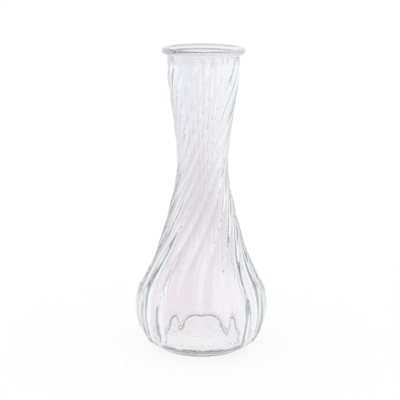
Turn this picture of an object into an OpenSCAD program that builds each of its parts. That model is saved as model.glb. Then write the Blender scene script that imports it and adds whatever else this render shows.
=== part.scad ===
// A clear glass bud vase with a round bulb, a slim neck and a rolled rim.
// Hollow flutes run straight up the bulb, lean over and wind round the neck.
// The glass is one piece: its outer wall is a loft, and its cavity, lip and
// underside are turned about the upright axis. Millimetres, +Z up, origin at
// the centre of the foot, where the vase stands.

/* [Overall] */
// Height from the table to the top of the rim
vase_h = 216; // [190:1:240]

/* [Body] */
// Radius of the foot where it meets the table
foot_r = 31; // [28:0.5:34]
// Height of the upright edge of the foot
foot_h = 1.2; // [0.8:0.1:2.5]
// Widest radius of the bulb, over its ridges
bulb_r = 47.6; // [44:0.2:52]
// Height of the widest part of the bulb
bulb_z = 29; // [25:0.5:36]
// Narrowest radius of the neck, over its ridges
waist_r = 18.2; // [16:0.1:21]
// Height of the narrowest part of the neck
waist_z = 134; // [122:1:144]
// Radius of the throat just under the rim, over its ridges
throat_r = 25.4; // [23:0.1:27]

/* [Flutes] */
// Number of flutes round the body
flute_count = 16; // [10:1:16]
// Depth of a flute on the bulb, below its ridges
bulb_flute_depth = 1.4; // [0.8:0.1:2.2]
// Depth of a flute on the neck, below its ridges
neck_flute_depth = 0.5; // [0.3:0.1:1.2]
// Lean of the flutes up the neck, away from upright, in degrees
flute_lean = 25; // [0:1:32]
// Height up to which the flutes run straight
straight_h = 45; // [35:1:60]
// Height over which they bend from straight to their full lean
bend_h = 32; // [10:1:50]
// Angle from the front to the nearest ridge of the bulb, in degrees
ridge_angle = 2.3; // [0:0.1:22]

/* [Glass] */
// Thickness of the bulb's wall behind a ridge
bulb_wall = 10.5; // [6:0.5:12]
// Thickness of the neck's wall behind a ridge
neck_wall = 5; // [3:0.1:6]
// Thickness of the floor at its middle
floor_t = 7.4; // [4:0.1:10]
// Fillet between the floor and the wall inside
floor_fillet = 3; // [2:0.5:8]
// Rise of the hollow under the foot
push_up = 1.3; // [0.6:0.1:3]
// Width of the sloping edge round that hollow
slope_w = 2; // [1:0.1:4]
// Width of the flat ring that the vase stands on
ring_w = 2.6; // [1.5:0.1:4]

/* [Rim] */
// Outer radius of the rolled rim
rim_r = 29.1; // [28:0.1:32]
// Radius of the roll's own section
roll_r = 2.2; // [1.6:0.1:2.6]
// Radius of the rounded edge inside the mouth
lip_r = 1.3; // [0.8:0.1:1.6]
// Distance from the rim's outside to the inside of the mouth
rim_w = 5.5; // [5:0.1:6.5]

/* [Hidden] */

flute_steps = 8;   // facets across one flute
ring_count = 46;   // rings of the loft up the wall
cavity_steps = 44; // straight steps up the cavity's wall
fillet_steps = 8;
round_fn = 96;

neck_top_z = vase_h - roll_r;    // the loft ends inside the roll
throat_z = vase_h - 4 * roll_r;  // the flutes have run out here
roll_x = rim_r - roll_r;         // centre of the roll's section
lip_x = rim_r - rim_w + lip_r;   // centre of the inner edge's section
floor_z = push_up + floor_t;     // top of the floor
overrun = 5;                     // how far a cut runs past the glass
ridge_round = 0.2;               // rounding of the ridges: 0 is sharp
flute_flat = 1.2;                // 1 is a round flute, more has a flatter bottom and steeper sides
crowd_share = 0.45;              // how much closer together the rings are at the heel: 0 is even

// Heel, from the foot to the bulb: share of the height, share of the way out
heel_shares = [[0, 0], [0.09, 0.33], [0.25, 0.63], [0.55, 0.87], [1, 1]];
// Shoulder, from the bulb to the waist: share of the height, share of the way in
shoulder_shares = [[0.11, 0.045], [0.225, 0.24], [0.36, 0.462], [0.53, 0.665],
                   [0.715, 0.838], [0.88, 0.965], [1, 1]];
// Throat, from the waist to the rim: share of the height, share of the way out
throat_shares = [[0.15, 0.06], [0.4, 0.35], [0.66, 0.72], [0.87, 0.97], [1, 1]];
// Depth of the flutes: share of the height, share of the depth
fade_shares = [[0, 0], [0.012, 0.12], [0.05, 0.75], [0.1, 1],
               [0.9, 1], [0.955, 0.6], [0.975, 0], [1, 0]];
// Thinning of the wall, from the bulb to the waist: share of the height, share of the thinning
thinning_shares = [[0, 0], [0.067, 0.18], [0.143, 0.345], [0.225, 0.455], [0.36, 0.53],
                   [0.58, 0.76], [1, 1]];

// Stations up the outside, as [height, radius over the ridges]
stations = concat(
    [for (s = heel_shares)
        [foot_h + s[0] * (bulb_z - foot_h), foot_r + s[1] * (bulb_r - foot_r)]],
    [for (s = shoulder_shares)
        [bulb_z + s[0] * (waist_z - bulb_z), bulb_r + s[1] * (waist_r - bulb_r)]],
    [for (s = throat_shares)
        [waist_z + s[0] * (throat_z - waist_z), waist_r + s[1] * (throat_r - waist_r)]]);

// Slope of a table at entry i, for a curve that passes through every entry and never overshoots
function step_slope(t, i) = (t[i + 1][1] - t[i][1]) / (t[i + 1][0] - t[i][0]);
function slope(t, i) =
    i == 0 ? step_slope(t, 0) :
    i == len(t) - 1 ? step_slope(t, i - 1) :
    let (a = step_slope(t, i - 1), b = step_slope(t, i))
    a * b <= 0 ? 0 : 2 * a * b / (a + b);

// Value of a table at x, by cubic pieces
function piece(t, x, i = 0) = i >= len(t) - 2 || x < t[i + 1][0] ? i : piece(t, x, i + 1);
function curve(t, x) =
    x <= t[0][0] ? t[0][1] :
    x >= t[len(t) - 1][0] ? t[len(t) - 1][1] :
    let (i = piece(t, x), h = t[i + 1][0] - t[i][0], u = (x - t[i][0]) / h)
    t[i][1] * (1 + 2 * u) * (1 - u) * (1 - u) + t[i + 1][1] * u * u * (3 - 2 * u)
    + h * slope(t, i) * u * (1 - u) * (1 - u) + h * slope(t, i + 1) * u * u * (u - 1);

// A smooth step: 0 below z0, 1 above z1
function ease(z, z0, z1) =
    let (u = max(0, min(1, (z - z0) / (z1 - z0)))) u * u * (3 - 2 * u);

function ridge_radius(z) = curve(stations, z);
function wall(z) =
    bulb_wall + (neck_wall - bulb_wall) * curve(thinning_shares, (z - bulb_z) / (waist_z - bulb_z));
function flute_depth(z) =
    (bulb_flute_depth + (neck_flute_depth - bulb_flute_depth) * ease(z, bulb_z, waist_z))
    * curve(fade_shares, z / neck_top_z);

// Depth across one flute: 0 on a ridge, 1 in the middle. u is the share of a flute from a ridge.
function round_hollow(u) =
    (sqrt(pow(sin(180 * u), 2) + pow(ridge_round, 2)) - ridge_round)
    / (sqrt(1 + pow(ridge_round, 2)) - ridge_round);
function hollow(u) = 1 - pow(1 - round_hollow(u), flute_flat);

// Heights of the loft's rings, closer together at the heel
ring_zs = [for (i = [0 : ring_count - 1])
    let (u = i / (ring_count - 1)) neck_top_z * u * (1 - crowd_share * (1 - u))];

// Turn of each ring: a flute that keeps one lean turns faster where the neck is slimmer
function ring_turn(i) =
    let (z = (ring_zs[i] + ring_zs[i + 1]) / 2,
         lean = flute_lean * ease(z, straight_h, straight_h + bend_h))
    tan(lean) * (ring_zs[i + 1] - ring_zs[i]) / ridge_radius(z) * 180 / PI;
turns = [for (i = 0, t = 0;
              i < ring_count;
              t = i < ring_count - 1 ? t + ring_turn(i) : t, i = i + 1) t];

around = flute_count * flute_steps;
function ring_point(i, j) =
    let (z = ring_zs[i],
         a = 360 * j / around + ridge_angle + turns[i] - 90,
         r = ridge_radius(z) - flute_depth(z) * hollow((j % flute_steps) / flute_steps))
    [r * cos(a), r * sin(a), z];

// The outer wall: rings of points that turn with the flutes, skinned and capped flat
module fluted_wall() {
    points = [for (i = [0 : ring_count - 1]) for (j = [0 : around - 1]) ring_point(i, j)];
    sides = [for (i = [0 : ring_count - 2]) for (j = [0 : around - 1])
        let (a = i * around + j, b = i * around + (j + 1) % around)
        each [[a, a + around, b + around], [a, b + around, b]]];
    bottom = [for (j = [0 : around - 1]) j];
    top = [for (j = [around - 1 : -1 : 0]) (ring_count - 1) * around + j];
    polyhedron(points, concat(sides, [bottom, top]), convexity = 8);
}

// The rolled rim: a round roll outside, joined to a smaller round edge inside the mouth
module rolled_rim() {
    rotate_extrude($fn = round_fn) {
        translate([roll_x, vase_h - roll_r]) circle(roll_r, $fn = round_fn);
        translate([lip_x, vase_h - lip_r]) circle(lip_r, $fn = round_fn);
        polygon([[lip_x, vase_h], [roll_x, vase_h], [roll_x, neck_top_z - roll_r],
                 [lip_x, neck_top_z - roll_r]]);
    }
}

// Where the water stands: the wall's own curve set in by the glass, down to a filleted floor
function cavity_radius(z) = ridge_radius(z) - wall(z);
module cavity() {
    corner_z = floor_z + floor_fillet;
    corner_r = cavity_radius(corner_z) - floor_fillet;
    rotate_extrude($fn = round_fn)
        polygon(concat(
            [[0, floor_z]],
            [for (i = [0 : fillet_steps])
                let (a = 90 * i / fillet_steps)
                [corner_r + floor_fillet * sin(a), corner_z - floor_fillet * cos(a)]],
            [for (i = [1 : cavity_steps])
                let (z = corner_z + i / cavity_steps * (throat_z - corner_z))
                [cavity_radius(z), z]],
            [[lip_x - lip_r, vase_h - lip_r], [lip_x - lip_r, vase_h + overrun], [0, vase_h + overrun]]));
}

// The shallow hollow that lifts the middle of the foot off the table
module underside() {
    hollow_r = foot_r - ring_w;
    rotate_extrude($fn = round_fn)
        polygon([[0, -overrun], [hollow_r, -overrun], [hollow_r, 0], [hollow_r - slope_w, push_up],
                 [0, push_up]]);
}

module vase() {
    color("azure", 0.4)
    difference() {
        union() {
            fluted_wall();
            rolled_rim();
        }
        cavity();
        underside();
    }
}

vase();
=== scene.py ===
# %% [markdown]
# A clear glass bud vase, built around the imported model.
# The vase is one piece of glass, so it is one mesh. Its outline is drawn once, as a section on one
# side of the axis, and Geometry Nodes turn that section round the axis and press the flutes in.
# Everything is in metres, +Z up, with the origin in the middle of the foot.

# %% Load the frame
import math

import bmesh
import bpy
from mathutils import Matrix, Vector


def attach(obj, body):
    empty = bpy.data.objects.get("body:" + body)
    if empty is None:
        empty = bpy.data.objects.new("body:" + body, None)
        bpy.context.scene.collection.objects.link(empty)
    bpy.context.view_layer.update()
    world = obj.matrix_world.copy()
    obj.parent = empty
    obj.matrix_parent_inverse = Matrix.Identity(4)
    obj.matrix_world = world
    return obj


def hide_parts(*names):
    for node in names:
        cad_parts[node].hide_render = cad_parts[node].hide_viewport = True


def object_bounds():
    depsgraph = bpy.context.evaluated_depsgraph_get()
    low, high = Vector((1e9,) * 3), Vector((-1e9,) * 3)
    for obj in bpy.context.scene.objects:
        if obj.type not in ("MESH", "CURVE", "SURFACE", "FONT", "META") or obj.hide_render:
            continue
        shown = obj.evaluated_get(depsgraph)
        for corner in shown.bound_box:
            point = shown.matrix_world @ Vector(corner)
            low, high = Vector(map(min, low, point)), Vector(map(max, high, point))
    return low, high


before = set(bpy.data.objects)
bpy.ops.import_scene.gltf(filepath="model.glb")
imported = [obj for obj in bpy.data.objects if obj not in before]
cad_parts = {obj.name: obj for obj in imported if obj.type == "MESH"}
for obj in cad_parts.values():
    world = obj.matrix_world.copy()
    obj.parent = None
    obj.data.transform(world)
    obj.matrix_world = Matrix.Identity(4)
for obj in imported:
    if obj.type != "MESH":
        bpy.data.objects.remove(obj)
cad_low, cad_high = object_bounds()
vase_h = cad_high.z
print("frame:", sorted(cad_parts), "height", round(vase_h, 4))

# %% [markdown]
# The sizes are the real ones. The outside of the glass climbs from corner to corner: the foot, the
# widest part of the bulb, the waist of the neck and the throat under the rim. Between two corners
# it follows a short table of shares, as a designer would sketch it: how far up the stretch a point
# lies, and how far out it has come by then.

# %% Sizes of the outline
MM = 0.001
foot_r, foot_h = 31 * MM, 1.2 * MM
bulb_r, bulb_z = 47.55 * MM, 29 * MM
waist_r, waist_z = 18.2 * MM, 134 * MM
roll_r = 2.2 * MM   # radius of the rolled rim's own section
throat_r, throat_z = 25.4 * MM, vase_h - 4 * roll_r

heel_shares = [(0, 0), (0.09, 0.33), (0.25, 0.63), (0.55, 0.87), (1, 1)]
shoulder_shares = [(0.11, 0.045), (0.225, 0.24), (0.36, 0.462), (0.53, 0.665),
                   (0.715, 0.838), (0.88, 0.965), (1, 1)]
throat_shares = [(0.15, 0.06), (0.4, 0.35), (0.66, 0.72), (0.87, 0.97), (1, 1)]
print("bulb", round(2 * bulb_r / MM, 1), "mm wide, waist", round(2 * waist_r / MM, 1), "mm")


# %% [markdown]
# The curve has to pass through every entry of a table, without the bulges that a plain spline makes
# between uneven entries. Cubic pieces do that when the slope at an entry is the harmonic mean of
# the slopes on its two sides, and level where the table turns back.

# %% A smooth curve through a table
def slopes(table):
    """Slope at each entry, so that the curve passes through all of them and never overshoots."""
    steps = [(b[1] - a[1]) / (b[0] - a[0]) for a, b in zip(table, table[1:])]
    inner = [0 if a * b <= 0 else 2 * a * b / (a + b) for a, b in zip(steps, steps[1:])]
    return [steps[0], *inner, steps[-1]]


def curve(table, x):
    """The table's value at x, by cubic pieces."""
    if x <= table[0][0]:
        return table[0][1]
    if x >= table[-1][0]:
        return table[-1][1]
    i = max(k for k, (start, _) in enumerate(table) if start <= x)
    (x0, y0), (x1, y1) = table[i], table[i + 1]
    m = slopes(table)
    h, u = x1 - x0, (x - x0) / (x1 - x0)
    return (y0 * (1 + 2 * u) * (1 - u) ** 2 + y1 * u * u * (3 - 2 * u)
            + h * m[i] * u * (1 - u) ** 2 + h * m[i + 1] * u * u * (u - 1))


def stretch(shares, low, high):
    """A table of shares, laid between two (height, radius) corners."""
    return [(low[0] + s * (high[0] - low[0]), low[1] + t * (high[1] - low[1])) for s, t in shares]


corners = [(foot_h, foot_r), (bulb_z, bulb_r), (waist_z, waist_r), (throat_z, throat_r)]
stations = []
for k, shares in enumerate((heel_shares, shoulder_shares, throat_shares)):
    stations += stretch(shares, corners[k], corners[k + 1])


def ridge_radius(z):
    """Radius of the outside at a height, over the ridges of the flutes."""
    return curve(stations, z)


print(len(stations), "stations, radius half way up", round(ridge_radius(vase_h / 2) / MM, 2), "mm")

# %% [markdown]
# The wall isn't even: it is thick round the bulb and thins towards the neck. Clear glass shows its
# thickness by how it bends the light, so the thinning has a table of its own, from the bulb to the
# waist. It can't be measured in a photograph, and was found by comparing renders with it.

# %% Thickness of the wall
bulb_wall, neck_wall = 10.5 * MM, 5.0 * MM
thinning_shares = [(0, 0), (0.067, 0.18), (0.143, 0.345), (0.225, 0.455), (0.36, 0.53),
                   (0.58, 0.76), (1, 1)]


def cavity_radius(z):
    """Radius of the inside at a height."""
    thinning = curve(thinning_shares, (z - bulb_z) / (waist_z - bulb_z))
    return ridge_radius(z) - bulb_wall - (neck_wall - bulb_wall) * thinning


print("neck", round(2 * cavity_radius(waist_z) / MM, 1), "mm clear")

# %% [markdown]
# Hollow flutes run up the outside, with sharp ridges between them. They are deeper on the bulb than
# on the neck, and a table of shares lets them run out at the heel and under the rim. They run
# straight up the bulb, then bend over and keep one lean up the neck.

# %% Flutes
flute_count = 16
bulb_flute_depth, neck_flute_depth = 1.4 * MM, 0.5 * MM
fade_shares = [(0, 0), (0.012, 0.12), (0.05, 0.75), (0.1, 1),
               (0.9, 1), (0.955, 0.6), (0.975, 0), (1, 0)]
flute_lean = math.radians(25)
straight_h, bend_h = 45 * MM, 32 * MM


def ease(x, start, end):
    """0 up to start, 1 from end on, and a smooth step between them."""
    u = min(1, max(0, (x - start) / (end - start)))
    return u * u * (3 - 2 * u)


def flute_depth(z):
    """Depth of a flute at a height."""
    deep = bulb_flute_depth + (neck_flute_depth - bulb_flute_depth) * ease(z, bulb_z, waist_z)
    return deep * curve(fade_shares, z / (vase_h - roll_r))


print(flute_count, "flutes", round(flute_depth(bulb_z) / MM, 2), "mm deep on the bulb")


# %% [markdown]
# The section runs from the middle of the underside, out over the ring that the vase stands on, up
# the outer wall, round the rim and down inside to the middle of the floor. Each point also carries
# what the lathe needs there: the flute's depth, its lean, how much of the knurling it takes and how
# much of the inner wall's waviness. Arcs and straight runs are enough to draw it.

# %% Helpers for the section
section = []
carried = ("flute_depth", "lean", "knurl", "wave")


def add(r, z, depth=0.0, lean=0.0, knurl=0.0, wave=0.0):
    """Adds one point to the section: its radius, its height and what it carries."""
    section.append((r, z, depth, lean, knurl, wave))


def arc(centre, radius, start, end, count):
    """Points on an arc in the section's plane, angles in degrees from outwards (0) to up (90)."""
    angles = [math.radians(start + (end - start) * k / (count - 1)) for k in range(count)]
    return [(centre[0] + radius * math.cos(a), centre[1] + radius * math.sin(a)) for a in angles]


def even(count, start, end):
    """Even steps from start to end, both included."""
    return [start + (end - start) * (k / count) for k in range(count + 1)]


print("each point carries", carried)

# %% [markdown]
# Underneath, the middle is pushed up a little, so that the vase stands on a narrow ring and doesn't
# rock. Fine knurls on the ring let it touch the table in few places. A moulded edge is never quite
# sharp, so the outer one is an arc, and the hollow runs into the ring by a soft slope.

# %% Underside and foot
push_up, ring_w, slope_w = 1.3 * MM, 2.6 * MM, 2.0 * MM
edge_r = 0.5 * MM                  # rounding of the foot's outer edge
ring_inset = 0.4 * edge_r          # from the end of the slope to the ring's first point
knurl_first, knurl_rise = 0.6, 3   # the knurls' start and rise, in points of the ring
edge_knurl = 0.8                   # share of the knurls that is left on the rounded edge
middle_steps, slope_steps, ring_steps = 8, 9, 7

hollow_r = foot_r - ring_w
for r in even(middle_steps, 0, hollow_r - slope_w):
    add(r, push_up)
for k in range(1, slope_steps):
    u = k / slope_steps
    add(hollow_r - slope_w * (1 - u), push_up * (1 - ease(u, 0, 1)))
for k, r in enumerate(even(ring_steps, hollow_r + ring_inset, foot_r - edge_r)):
    add(r, 0, knurl=math.sin(math.pi * min(1, (k + knurl_first) / knurl_rise) / 2))
for r, z in arc((foot_r - edge_r, edge_r), edge_r, -60, 0, 4):
    add(r, z, knurl=edge_knurl * (1 - z / edge_r))
print("underside:", len(section), "points, ring from", round(hollow_r / MM, 1), "mm outwards")

# %% [markdown]
# The outer wall follows the ridges from the foot to just under the rim, and each point notes how
# deep the flutes are there and how far they lean. The heel curves most, so the points stand closer
# together there.

# %% Outer wall
roll_fillet = 0.3 * MM   # rounding under the rolled rim
outer_top = vase_h - 2 * roll_r - roll_fillet
outer_steps = 114
crowding = 0.38          # how much closer together the points are at the heel: 0 is even
for k in range(outer_steps + 1):
    u = k / outer_steps
    z = foot_h + (outer_top - foot_h) * u * (1 - crowding + crowding * u)
    lean = flute_lean * ease(z, straight_h, straight_h + bend_h)
    add(ridge_radius(z), z, depth=flute_depth(z), lean=lean)
print("outer wall: up to", round(outer_top / MM, 1), "mm")

# %% [markdown]
# The rim is a thick round bead, strong where a vase is most often knocked, with a smaller round
# edge inside the mouth. A tiny fillet joins the bead to the neck. Three arcs draw all of it, and
# the straight step between the last two is the rim's flat top.

# %% Rim
rim_r, rim_w, lip_r = 29.1 * MM, 5.5 * MM, 1.3 * MM
fillet = arc((ridge_radius(outer_top) + roll_fillet, outer_top), roll_fillet, 180, 90, 6)[1:]
bead = arc((rim_r - roll_r, vase_h - roll_r), roll_r, -90, 90, 22)
inner_edge = arc((rim_r - rim_w + lip_r, vase_h - lip_r), lip_r, 90, 180, 8)
for r, z in fillet + bead + inner_edge:
    add(r, z)
print("mouth:", round(2 * (rim_r - rim_w) / MM, 1), "mm clear")

# %% [markdown]
# The inside follows the outside's curve, set in by the wall, down to a floor with a filleted
# corner. No mould touched this side, so it is slightly wavy. The waves fade out at the throat and
# at the corner, where they would spoil the arcs.

# %% Cavity and floor
floor_t, floor_fillet = 7.4 * MM, 3.0 * MM
wave_fade_low, wave_fade_high = 10 * MM, 12 * MM
cavity_steps, floor_steps = 54, 8

floor_z = push_up + floor_t
corner_z = floor_z + floor_fillet
corner_r = cavity_radius(corner_z) - floor_fillet
for z in even(cavity_steps, throat_z, corner_z):
    off_floor = ease(z, corner_z, corner_z + wave_fade_low)
    off_throat = 1 - ease(z, throat_z - wave_fade_high, throat_z)
    add(cavity_radius(z), z, wave=off_floor * off_throat)
for r, z in arc((corner_r, corner_z), floor_fillet, 0, -90, 9)[1:]:
    add(r, z)
for r in even(floor_steps, corner_r, 0)[1:]:
    add(r, floor_z)
print("section:", len(section), "points, floor", round(floor_z / MM, 1), "mm up")

# %% [markdown]
# The section becomes a mesh of points joined in a row. What a point carries is stored as named
# attributes, which Geometry Nodes can read by name.

# %% Section as a mesh
mesh = bpy.data.meshes.new("vase_section")
points = [(r, 0, z) for r, z, *_ in section]
edges = [(k, k + 1) for k in range(len(section) - 1)]
mesh.from_pydata(points, edges, [])
for column, name in enumerate(carried, start=2):
    layer = mesh.attributes.new(name, "FLOAT", "POINT")
    layer.data.foreach_set("value", [row[column] for row in section])
vase = bpy.data.objects.new("vase_glass", mesh)
bpy.context.scene.collection.objects.link(vase)
print("section mesh:", len(mesh.vertices), "points", len(mesh.edges), "edges")


# %% [markdown]
# Shader and geometry maths read best as sums. This small class wraps a node's socket, so that
# a * b + c adds the Math nodes for it, and one method makes every other kind of node.

# %% Sums on sockets
class Sum:
    """A value in a node tree."""

    def __init__(self, tree, socket):
        self.tree, self.socket = tree, socket

    def math(self, operation, *others):
        return node(self.tree, "ShaderNodeMath", {"operation": operation}, [self, *others])

    def __add__(self, other):
        return self.math("ADD", other)

    def __sub__(self, other):
        return self.math("SUBTRACT", other)

    def __mul__(self, other):
        return self.math("MULTIPLY", other)

    def __truediv__(self, other):
        return self.math("DIVIDE", other)

    def __pow__(self, other):
        return self.math("POWER", other)

    __radd__ = __add__

    def __rsub__(self, other):
        return self * -1 + other


def node(tree, kind, settings=None, values=(), output=0):
    """Adds a node, sets it, fills its inputs in order or by name, and returns one output."""
    made = tree.nodes.new(kind)
    for name, value in (settings or {}).items():
        setattr(made, name, value)
    for key, value in values.items() if isinstance(values, dict) else enumerate(values):
        if isinstance(value, Sum):
            tree.links.new(value.socket, made.inputs[key])
        else:
            made.inputs[key].default_value = value
    return Sum(tree, made.outputs[output])


def parts(vector):
    """The x, y and z of a vector."""
    split = vector.tree.nodes.new("ShaderNodeSeparateXYZ")
    vector.tree.links.new(vector.socket, split.inputs[0])
    return [Sum(vector.tree, socket) for socket in split.outputs]


# %% [markdown]
# The lathe is a node group. Its sizes are named inputs, so that it could turn another section with
# other flutes.

# %% The lathe's inputs
tiny = 1e-6
lathe_inputs = {
    "Int": ("Steps Round", "Flutes", "Knurls"),
    "Float": ("Ridge Angle", "Ridge Rounding", "Flute Flatness", "Knurl Depth", "Wave Height",
              "Seed"),
    "Material": ("Glass",),
}


def lathe_tree():
    """An empty node group with the lathe's inputs and output, and what it is given."""
    tree = bpy.data.node_groups.new("glass_lathe", "GeometryNodeTree")
    face = tree.interface
    face.new_socket("Geometry", in_out="INPUT", socket_type="NodeSocketGeometry")
    for kind, names in lathe_inputs.items():
        for name in names:
            face.new_socket(name, in_out="INPUT", socket_type="NodeSocket" + kind)
    face.new_socket("Geometry", in_out="OUTPUT", socket_type="NodeSocketGeometry")
    enter = tree.nodes.new("NodeGroupInput")
    return tree, {socket.name: Sum(tree, socket) for socket in enter.outputs}


print("lathe:", sum(len(names) for names in lathe_inputs.values()), "named inputs")


# %% [markdown]
# The flutes keep one lean up the neck, so they turn faster where the neck is slim. The turn is
# summed point by point up the section: each step turns them by the tangent of the lean, times the
# climb, divided by the radius there.

# %% How far the flutes have turned
def field(tree, name):
    """A named attribute of the points."""
    return node(tree, "GeometryNodeInputNamedAttribute", {"data_type": "FLOAT"}, {"Name": name})


def turn_so_far(tree, place):
    """How far the flutes have turned at each point of the section, in radians."""
    below = (node(tree, "GeometryNodeInputIndex") - 1).math("MAXIMUM", 0)
    before = node(tree, "GeometryNodeFieldAtIndex", {"data_type": "FLOAT_VECTOR"},
                  {"Index": below, "Value": place})
    r_now, _, z_now = parts(place)
    r_before, _, z_before = parts(before)
    sideways = field(tree, "lean").math("TANGENT") * (z_now - z_before)
    step = sideways * 2 / (r_now + r_before + tiny)
    return node(tree, "GeometryNodeAccumulateField", {"data_type": "FLOAT"}, {"Value": step})


# %% [markdown]
# Across a flute the glass dips like half a sine wave, which meets its neighbour in a sharp ridge.
# Two numbers shape it: one rounds the ridge a little, and one makes the flute's bottom flatter and
# its sides steeper. The knurls are a plain cosine wave.

# %% Across one flute and one knurl
def flute_hollow(share, given):
    """0 on a ridge and 1 in the middle of a flute, where share is the way round from 0 to 1."""
    wave = (share * given["Flutes"] * math.pi).math("SINE")
    rounding = given["Ridge Rounding"]
    top = (wave * wave + rounding * rounding).math("SQRT") - rounding
    hollow = top / ((1 + rounding * rounding).math("SQRT") - rounding)
    return 1 - (1 - hollow) ** given["Flute Flatness"]


def knurl_hollow(share, given):
    """0 on top of a knurl and 1 between two."""
    return 0.5 - (share * given["Knurls"] * 2 * math.pi).math("COSINE") * 0.5


# %% [markdown]
# The lathe's work. A flat grid gets one row for each point of the section and one column for each
# step round the axis. Its points lie one unit apart, so their place tells their row and column, and
# every one is moved to its place on the glass. The inner wall's waves come from a noise with a seed
# of its own. Seam and poles close when the doubled points are merged. How far the flutes have
# turned stays on the points, for the material.

# %% Build the lathe
waves_per_metre, wave_detail = 55.0, 2.0


def glass_lathe():
    """The node group that turns the section into the vase."""
    tree, given = lathe_tree()
    outline, steps_round = given["Geometry"], given["Steps Round"]
    place = node(tree, "GeometryNodeInputPosition")
    turn = turn_so_far(tree, place)
    rows = node(tree, "GeometryNodeAttributeDomainSize", {}, {"Geometry": outline})
    grid = node(tree, "GeometryNodeMeshGrid", {}, {
        "Size X": steps_round, "Size Y": rows - 1,
        "Vertices X": steps_round + 1, "Vertices Y": rows})
    column, row, _ = parts(place)
    column = (column + steps_round / 2).math("ROUND")
    row = (row + (rows - 1) / 2).math("ROUND")

    def at_row(value, kind="FLOAT"):
        return node(tree, "GeometryNodeSampleIndex", {"data_type": kind},
                    {"Geometry": outline, "Value": value, "Index": row})

    radius, _, height = parts(at_row(place, "FLOAT_VECTOR"))
    share = column / steps_round
    radius = radius - at_row(field(tree, "flute_depth")) * flute_hollow(share, given)
    lift = at_row(field(tree, "knurl")) * knurl_hollow(share, given) * given["Knurl Depth"]
    angle = share * 2 * math.pi + given["Ridge Angle"] - math.pi / 2 + at_row(turn)
    cos, sin = angle.math("COSINE"), angle.math("SINE")
    spot = node(tree, "ShaderNodeCombineXYZ", {}, [radius * cos, radius * sin, height + lift])

    noise = node(tree, "ShaderNodeTexNoise", {"noise_dimensions": "4D"}, {
        "Vector": spot, "W": given["Seed"], "Scale": waves_per_metre, "Detail": wave_detail})
    swell = (noise - 0.5) * given["Wave Height"] * at_row(field(tree, "wave"))
    push = node(tree, "ShaderNodeCombineXYZ", {}, [swell * cos, swell * sin, 0.0])
    spot = node(tree, "ShaderNodeVectorMath", {"operation": "ADD"}, [spot, push])

    shape = node(tree, "GeometryNodeStoreNamedAttribute",
                 {"data_type": "FLOAT", "domain": "POINT"},
                 {"Geometry": grid, "Name": "turn", "Value": at_row(turn)})
    for kind, values in (("SetPosition", {"Position": spot}),
                         ("MergeByDistance", {"Distance": tiny}),
                         ("SetShadeSmooth", {}),
                         ("RealizeInstances", {}),
                         ("SetMaterial", {"Material": given["Glass"]})):
        shape = node(tree, "GeometryNode" + kind, {}, {"Geometry": shape, **values})
    leave = tree.nodes.new("NodeGroupOutput")
    tree.links.new(shape.socket, leave.inputs[0])
    return tree


# %% [markdown]
# The glass is clear, with a faint green that only shows where a ray runs a long way through it: at
# the rim, along the ridges and in the thick heel. A volume that absorbs a little light gives just
# that, and its colour and density are plain numbers.
# Glass that has been blown in a mould is never quite flat. Faint ripples lie in its skin, drawn out
# the way the flutes run. Each point of the mesh knows how far the flutes have turned there, so the
# noise that makes the ripples is unwound by that turn, and then winds round the neck with them.

# %% Clear glass
glass_ior = 1.52
absorbed_tint, absorbed_density = (0.40, 0.50, 0.50, 1), 4.5
ripples_per_metre, ripple_detail, ripple_height = 200.0, 0.5, 0.2 * MM
ripple_squeeze = 0.12   # of the noise along the flutes: less draws the ripples out longer


def clear_glass():
    """Clear glass with a faint tint in its depth and ripples in its skin."""
    material = bpy.data.materials.new("clear_glass")
    material.use_nodes = True
    tree = material.node_tree
    shader = tree.nodes["Principled BSDF"]
    shader.inputs["Base Color"].default_value = (1, 1, 1, 1)
    shader.inputs["Roughness"].default_value = 0.0
    shader.inputs["IOR"].default_value = glass_ior
    shader.inputs["Transmission Weight"].default_value = 1
    turn = node(tree, "ShaderNodeAttribute", {"attribute_name": "turn"}, output="Fac")
    place = node(tree, "ShaderNodeTexCoord", output="Object")
    unwound = node(tree, "ShaderNodeVectorRotate", {"rotation_type": "Z_AXIS"}, {
        "Vector": place, "Angle": turn * -1})
    drawn_out = node(tree, "ShaderNodeVectorMath", {"operation": "MULTIPLY"}, [
        unwound, (1, 1, ripple_squeeze)])
    ripples = node(tree, "ShaderNodeTexNoise", {}, {
        "Vector": drawn_out, "Scale": ripples_per_metre, "Detail": ripple_detail})
    bump = node(tree, "ShaderNodeBump", {}, {
        "Strength": 1.0, "Distance": ripple_height, "Height": ripples})
    tree.links.new(bump.socket, shader.inputs["Normal"])
    absorb = node(tree, "ShaderNodeVolumeAbsorption", {}, {
        "Color": absorbed_tint, "Density": absorbed_density})
    tree.links.new(absorb.socket, tree.nodes["Material Output"].inputs["Volume"])
    return material


glass = clear_glass()
print("clear glass:", len(glass.node_tree.nodes), "nodes, IOR", glass_ior)

# %% [markdown]
# The modifier gets its numbers, and its result is kept as a plain mesh. Glass bends light rightly
# only if its surface is closed and faces outwards: then no edge is open and the volume is positive.

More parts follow.
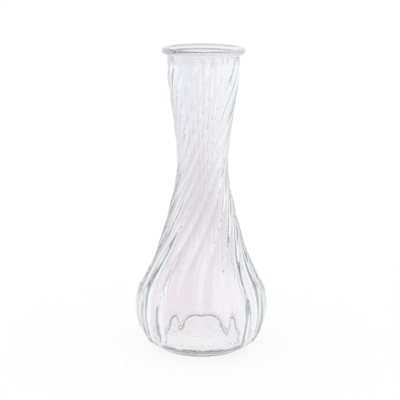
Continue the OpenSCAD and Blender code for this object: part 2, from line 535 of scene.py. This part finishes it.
# %% Turn the section into glass
modifier = vase.modifiers.new("lathe", "NODES")
modifier.node_group = glass_lathe()
wanted = {
    "Steps Round": 400,
    "Flutes": flute_count,
    "Knurls": 80,
    "Ridge Angle": math.radians(2.3),   # from the front to the nearest ridge of the bulb
    "Ridge Rounding": 0.2,              # 0 is a sharp ridge
    "Flute Flatness": 1.2,              # 1 is a round flute
    "Knurl Depth": 0.5 * MM,
    "Wave Height": 0.12 * MM,
    "Seed": 3.0,
    "Glass": glass,
}
for item in modifier.node_group.interface.items_tree:
    if item.in_out == "INPUT" and item.name in wanted:
        modifier[item.identifier] = wanted[item.name]
evaluated = vase.evaluated_get(bpy.context.evaluated_depsgraph_get())
made = bpy.data.meshes.new_from_object(evaluated)
vase.modifiers.remove(modifier)
vase.data = made
made.name = "vase_glass"

bm = bmesh.new()
bm.from_mesh(made)
open_edges = sum(1 for e in bm.edges if not e.is_manifold)
volume_cm3 = bm.calc_volume(signed=True) / (10 * MM) ** 3
bm.free()
print("glass:", len(made.vertices), "points", len(made.polygons), "faces",
      "open edges", open_edges, "volume cm3", round(volume_cm3, 2))

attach(vase, "root")
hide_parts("vase")

# %% [markdown]
# The studio. A clear vase has hardly any colour of its own: what it shows is the room, bent by its
# wall. The floor is a wide sheet of paper that the camera sees white. Rays that come from the glass
# see painted light and shade glowing on it by place, standing in for the room's light and shade:
# pink in front, darker mauve and grey behind, lavender at the left and painted light at the right.
# A table lays them over each other. None of this belongs to the vase.

# %% Painted light and shade on the paper
white = (1, 1, 1, 1)
# Painted light and shade: the paper itself is white, and these glowing tones stand in for the
# room's light and shade as the glass shows it.
painted_tones = {
    "blush": (0.87, 0.785, 0.825, 1),
    "pale pink": (0.94, 0.915, 0.94, 1),
    "bright pink": (0.96, 0.92, 0.94, 1),
    "mauve": (0.69, 0.64, 0.675, 1),
    "deep mauve": (0.66, 0.62, 0.66, 1),
    "grey": (0.78, 0.77, 0.82, 1),
    "lavender": (0.78, 0.78, 0.86, 1),
    "light": (0.96, 0.95, 0.98, 1),
    "near white": (0.98, 0.98, 1, 1),
}
# Patches of painted light, scattered by a noise.
patches_across, patches_away, patches_seed = 10, 2, 7.7   # the first two per metre


def ramp(value, low, high):
    """0 below low, 1 above high, and a smooth step between them."""
    return node(value.tree, "ShaderNodeMapRange", {"interpolation_type": "SMOOTHSTEP"}, {
        "Value": value, "From Min": low, "From Max": high})


def mix(share, a, b):
    """Colour a where share is 0, and colour b where it is 1."""
    return node(share.tree, "ShaderNodeMix", {"data_type": "RGBA"},
                {0: share, 6: a, 7: b}, output=2)


def paper_painted_light(tree):
    """The painted light and shade that glass sees on the paper by place, in metres to the right of
    the vase and away from the camera.
    """
    across, away, _ = parts(node(tree, "ShaderNodeTexCoord", output="Object"))
    beside = across.math("ABSOLUTE")
    spread = node(tree, "ShaderNodeCombineXYZ", {}, [
        across * patches_across, away * patches_away, patches_seed])
    patches = node(tree, "ShaderNodeTexNoise", {}, {"Vector": spread, "Scale": 1.0, "Detail": 1.0})
    # Masks for painted light and shade: lavender at the left, lighter far to the right, darker
    # mauve in the middle behind the vase, near white to the sides.
    left = ramp(across * -1, 0.08, 0.25) * ramp(away, 0.25, 0.4)
    far_right = ramp(across, -0.08, 0.0) * ramp(away, 0.8, 1.2)
    middle = (1 - ramp(beside, 0.04, 0.18)) * ramp(away, 0.35, 0.5) * (1 - ramp(away, 0.55, 0.8))
    near_sides = ramp(beside, 0.045, 0.085) * (1 - ramp(away, 0.12, 0.25))
    # Each layer paints light or shade of the room: darker mauve and grey further back, painted
    # light at the right and in patches, bright pink just in front, near white to the sides.
    painted_light_and_shade = mix(ramp(across, -0.02, 0.02), painted_tones["blush"], painted_tones["pale pink"])
    for share, tone in (
            (ramp(away, 0.14, 0.36), "mauve"),
            (ramp(away, 0.5, 1.05), "grey"),
            (left, "lavender"),
            (ramp(across, 0.04, 0.26) * 0.8, "light"),
            (far_right * 0.4, "light"),
            (ramp(patches, 0.4, 0.65) * 0.3, "light"),
            (middle * 0.7, "deep mauve"),
            (1 - ramp(away, -0.01, 0.05), "bright pink"),
            (ramp(beside, 0.3, 1.1).math("MAXIMUM", near_sides), "near white")):
        painted_light_and_shade = mix(share, painted_light_and_shade, painted_tones[tone])
    return painted_light_and_shade


print("paper:", len(painted_tones), "painted_tones")

# %% [markdown]
# A Light Path node tells what kind of ray is asking, so the paper can answer the glass with its
# glowing painted light and shade and the camera with white. For the camera a part of it stays a
# matt surface, which takes the vase's faint shadow.

# %% Floor
floor_size = 12
glow_share = 0.85   # the rest is matt paper


def ray_facts(tree, *names):
    """What a Light Path node knows about the ray that asks."""
    path = tree.nodes.new("ShaderNodeLightPath")
    return [Sum(tree, path.outputs[name]) for name in names]


def floor_material():
    """Paper that is white to the camera and glows with painted light and shade to rays from the
    glass.
    """
    material = bpy.data.materials.new("floor_paper")
    material.use_nodes = True
    tree = material.node_tree
    shader = tree.nodes["Principled BSDF"]
    shader.inputs["Roughness"].default_value = 1
    shader.inputs["Specular IOR Level"].default_value = 0
    shader.inputs["Base Color"].default_value = white
    direct, glossy, through = ray_facts(
        tree, "Is Camera Ray", "Is Glossy Ray", "Is Transmission Ray")
    # The painted light and shade glows, though the paper is no lamp.
    painted_room_glow = node(tree, "ShaderNodeEmission", {}, {"Color": paper_painted_light(tree), "Strength": 1.0})
    glow = node(tree, "ShaderNodeEmission", {}, {"Color": white, "Strength": 1.0})
    matt = Sum(tree, shader.outputs[0])
    paper = node(tree, "ShaderNodeMixShader", {}, {0: direct * glow_share, 1: matt, 2: glow})
    both = node(tree, "ShaderNodeMixShader", {}, {
        0: glossy.math("MAXIMUM", through), 1: paper, 2: painted_room_glow})
    tree.links.new(both.socket, tree.nodes["Material Output"].inputs["Surface"])
    return material


bpy.ops.mesh.primitive_plane_add(size=floor_size)
floor = bpy.context.object
floor.name = "studio_floor"
floor.data.materials.append(floor_material())
print("floor:", floor_size, "m wide,", len(floor.data.materials[0].node_tree.nodes), "nodes")

# %% [markdown]
# The room is an even white light. A studio's ceiling is darker than its walls, and clear glass
# shows that in its bead and its flutes, so rays from the glass see the light get dimmer with
# height, in two steps. The light that falls on the paper stays even.

# %% World
# Each step runs from one height of the ray's direction to another, and dims by an amount.
wall_step, ceiling_step = (0.05, 0.45, 0.28), (0.4, 0.6, 0.3)

world = bpy.data.worlds.new("studio")
bpy.context.scene.world = world
world.use_nodes = True
tree = world.node_tree
background = tree.nodes["Background"]
_, _, up = parts(node(tree, "ShaderNodeTexCoord", output="Generated"))
walls, ceiling = (ramp(up, low, high) * amount for low, high, amount in (wall_step, ceiling_step))
glossy, through, off_paper = ray_facts(
    tree, "Is Glossy Ray", "Is Transmission Ray", "Diffuse Depth")
from_glass = glossy.math("MAXIMUM", through) * (1 - off_paper.math("MINIMUM", 1))
strength = 1 - from_glass * (walls + ceiling)
tree.links.new(strength.socket, background.inputs["Strength"])
background.inputs["Color"].default_value = white
print("world:", len(tree.nodes), "nodes, overhead", round(1 - wall_step[2] - ceiling_step[2], 2))

# %% [markdown]
# The camera stands where the photograph's did, as found from the vase's outline: about a metre in
# front, looking down a little, with a long lens. The focal length was found in pixels of a picture
# 400 pixels wide, and the sensor's width turns it into millimetres.

# %% Camera
frame_px, focal_px, sensor_mm = 400, 1367, 36
pitch_deg, roll_deg = 13.1, 0.55

camera_data = bpy.data.cameras.new("photo_camera")
camera = bpy.data.objects.new("photo_camera", camera_data)
bpy.context.scene.collection.objects.link(camera)
bpy.context.scene.camera = camera
camera_data.sensor_width = sensor_mm
camera_data.lens = sensor_mm * focal_px / frame_px
camera_data.clip_start = 0.01
camera.location = (-1.6 * MM, -949 * MM, 328 * MM)
tilt = Matrix.Rotation(math.pi / 2 - math.radians(pitch_deg), 3, "X")
camera.rotation_euler = (tilt @ Matrix.Rotation(math.radians(roll_deg), 3, "Z")).to_euler()
print("camera:", round(camera_data.lens, 1), "mm lens, looking down by", pitch_deg, "degrees")

# %% [markdown]
# The Standard view shows colours as they are, so white paper stays white. Light that runs round
# inside the rim and the ridges bounces many times before it leaves. The usual few bounces would cut
# it off there and leave false black lines, so the glass gets many.

# %% View settings and bounces
light_bounces = 96
bpy.context.scene.view_settings.view_transform = "Standard"
cycles = bpy.context.scene.cycles
cycles.max_bounces = light_bounces
cycles.transmission_bounces = light_bounces
cycles.glossy_bounces = light_bounces
print("light bounces:", light_bounces)
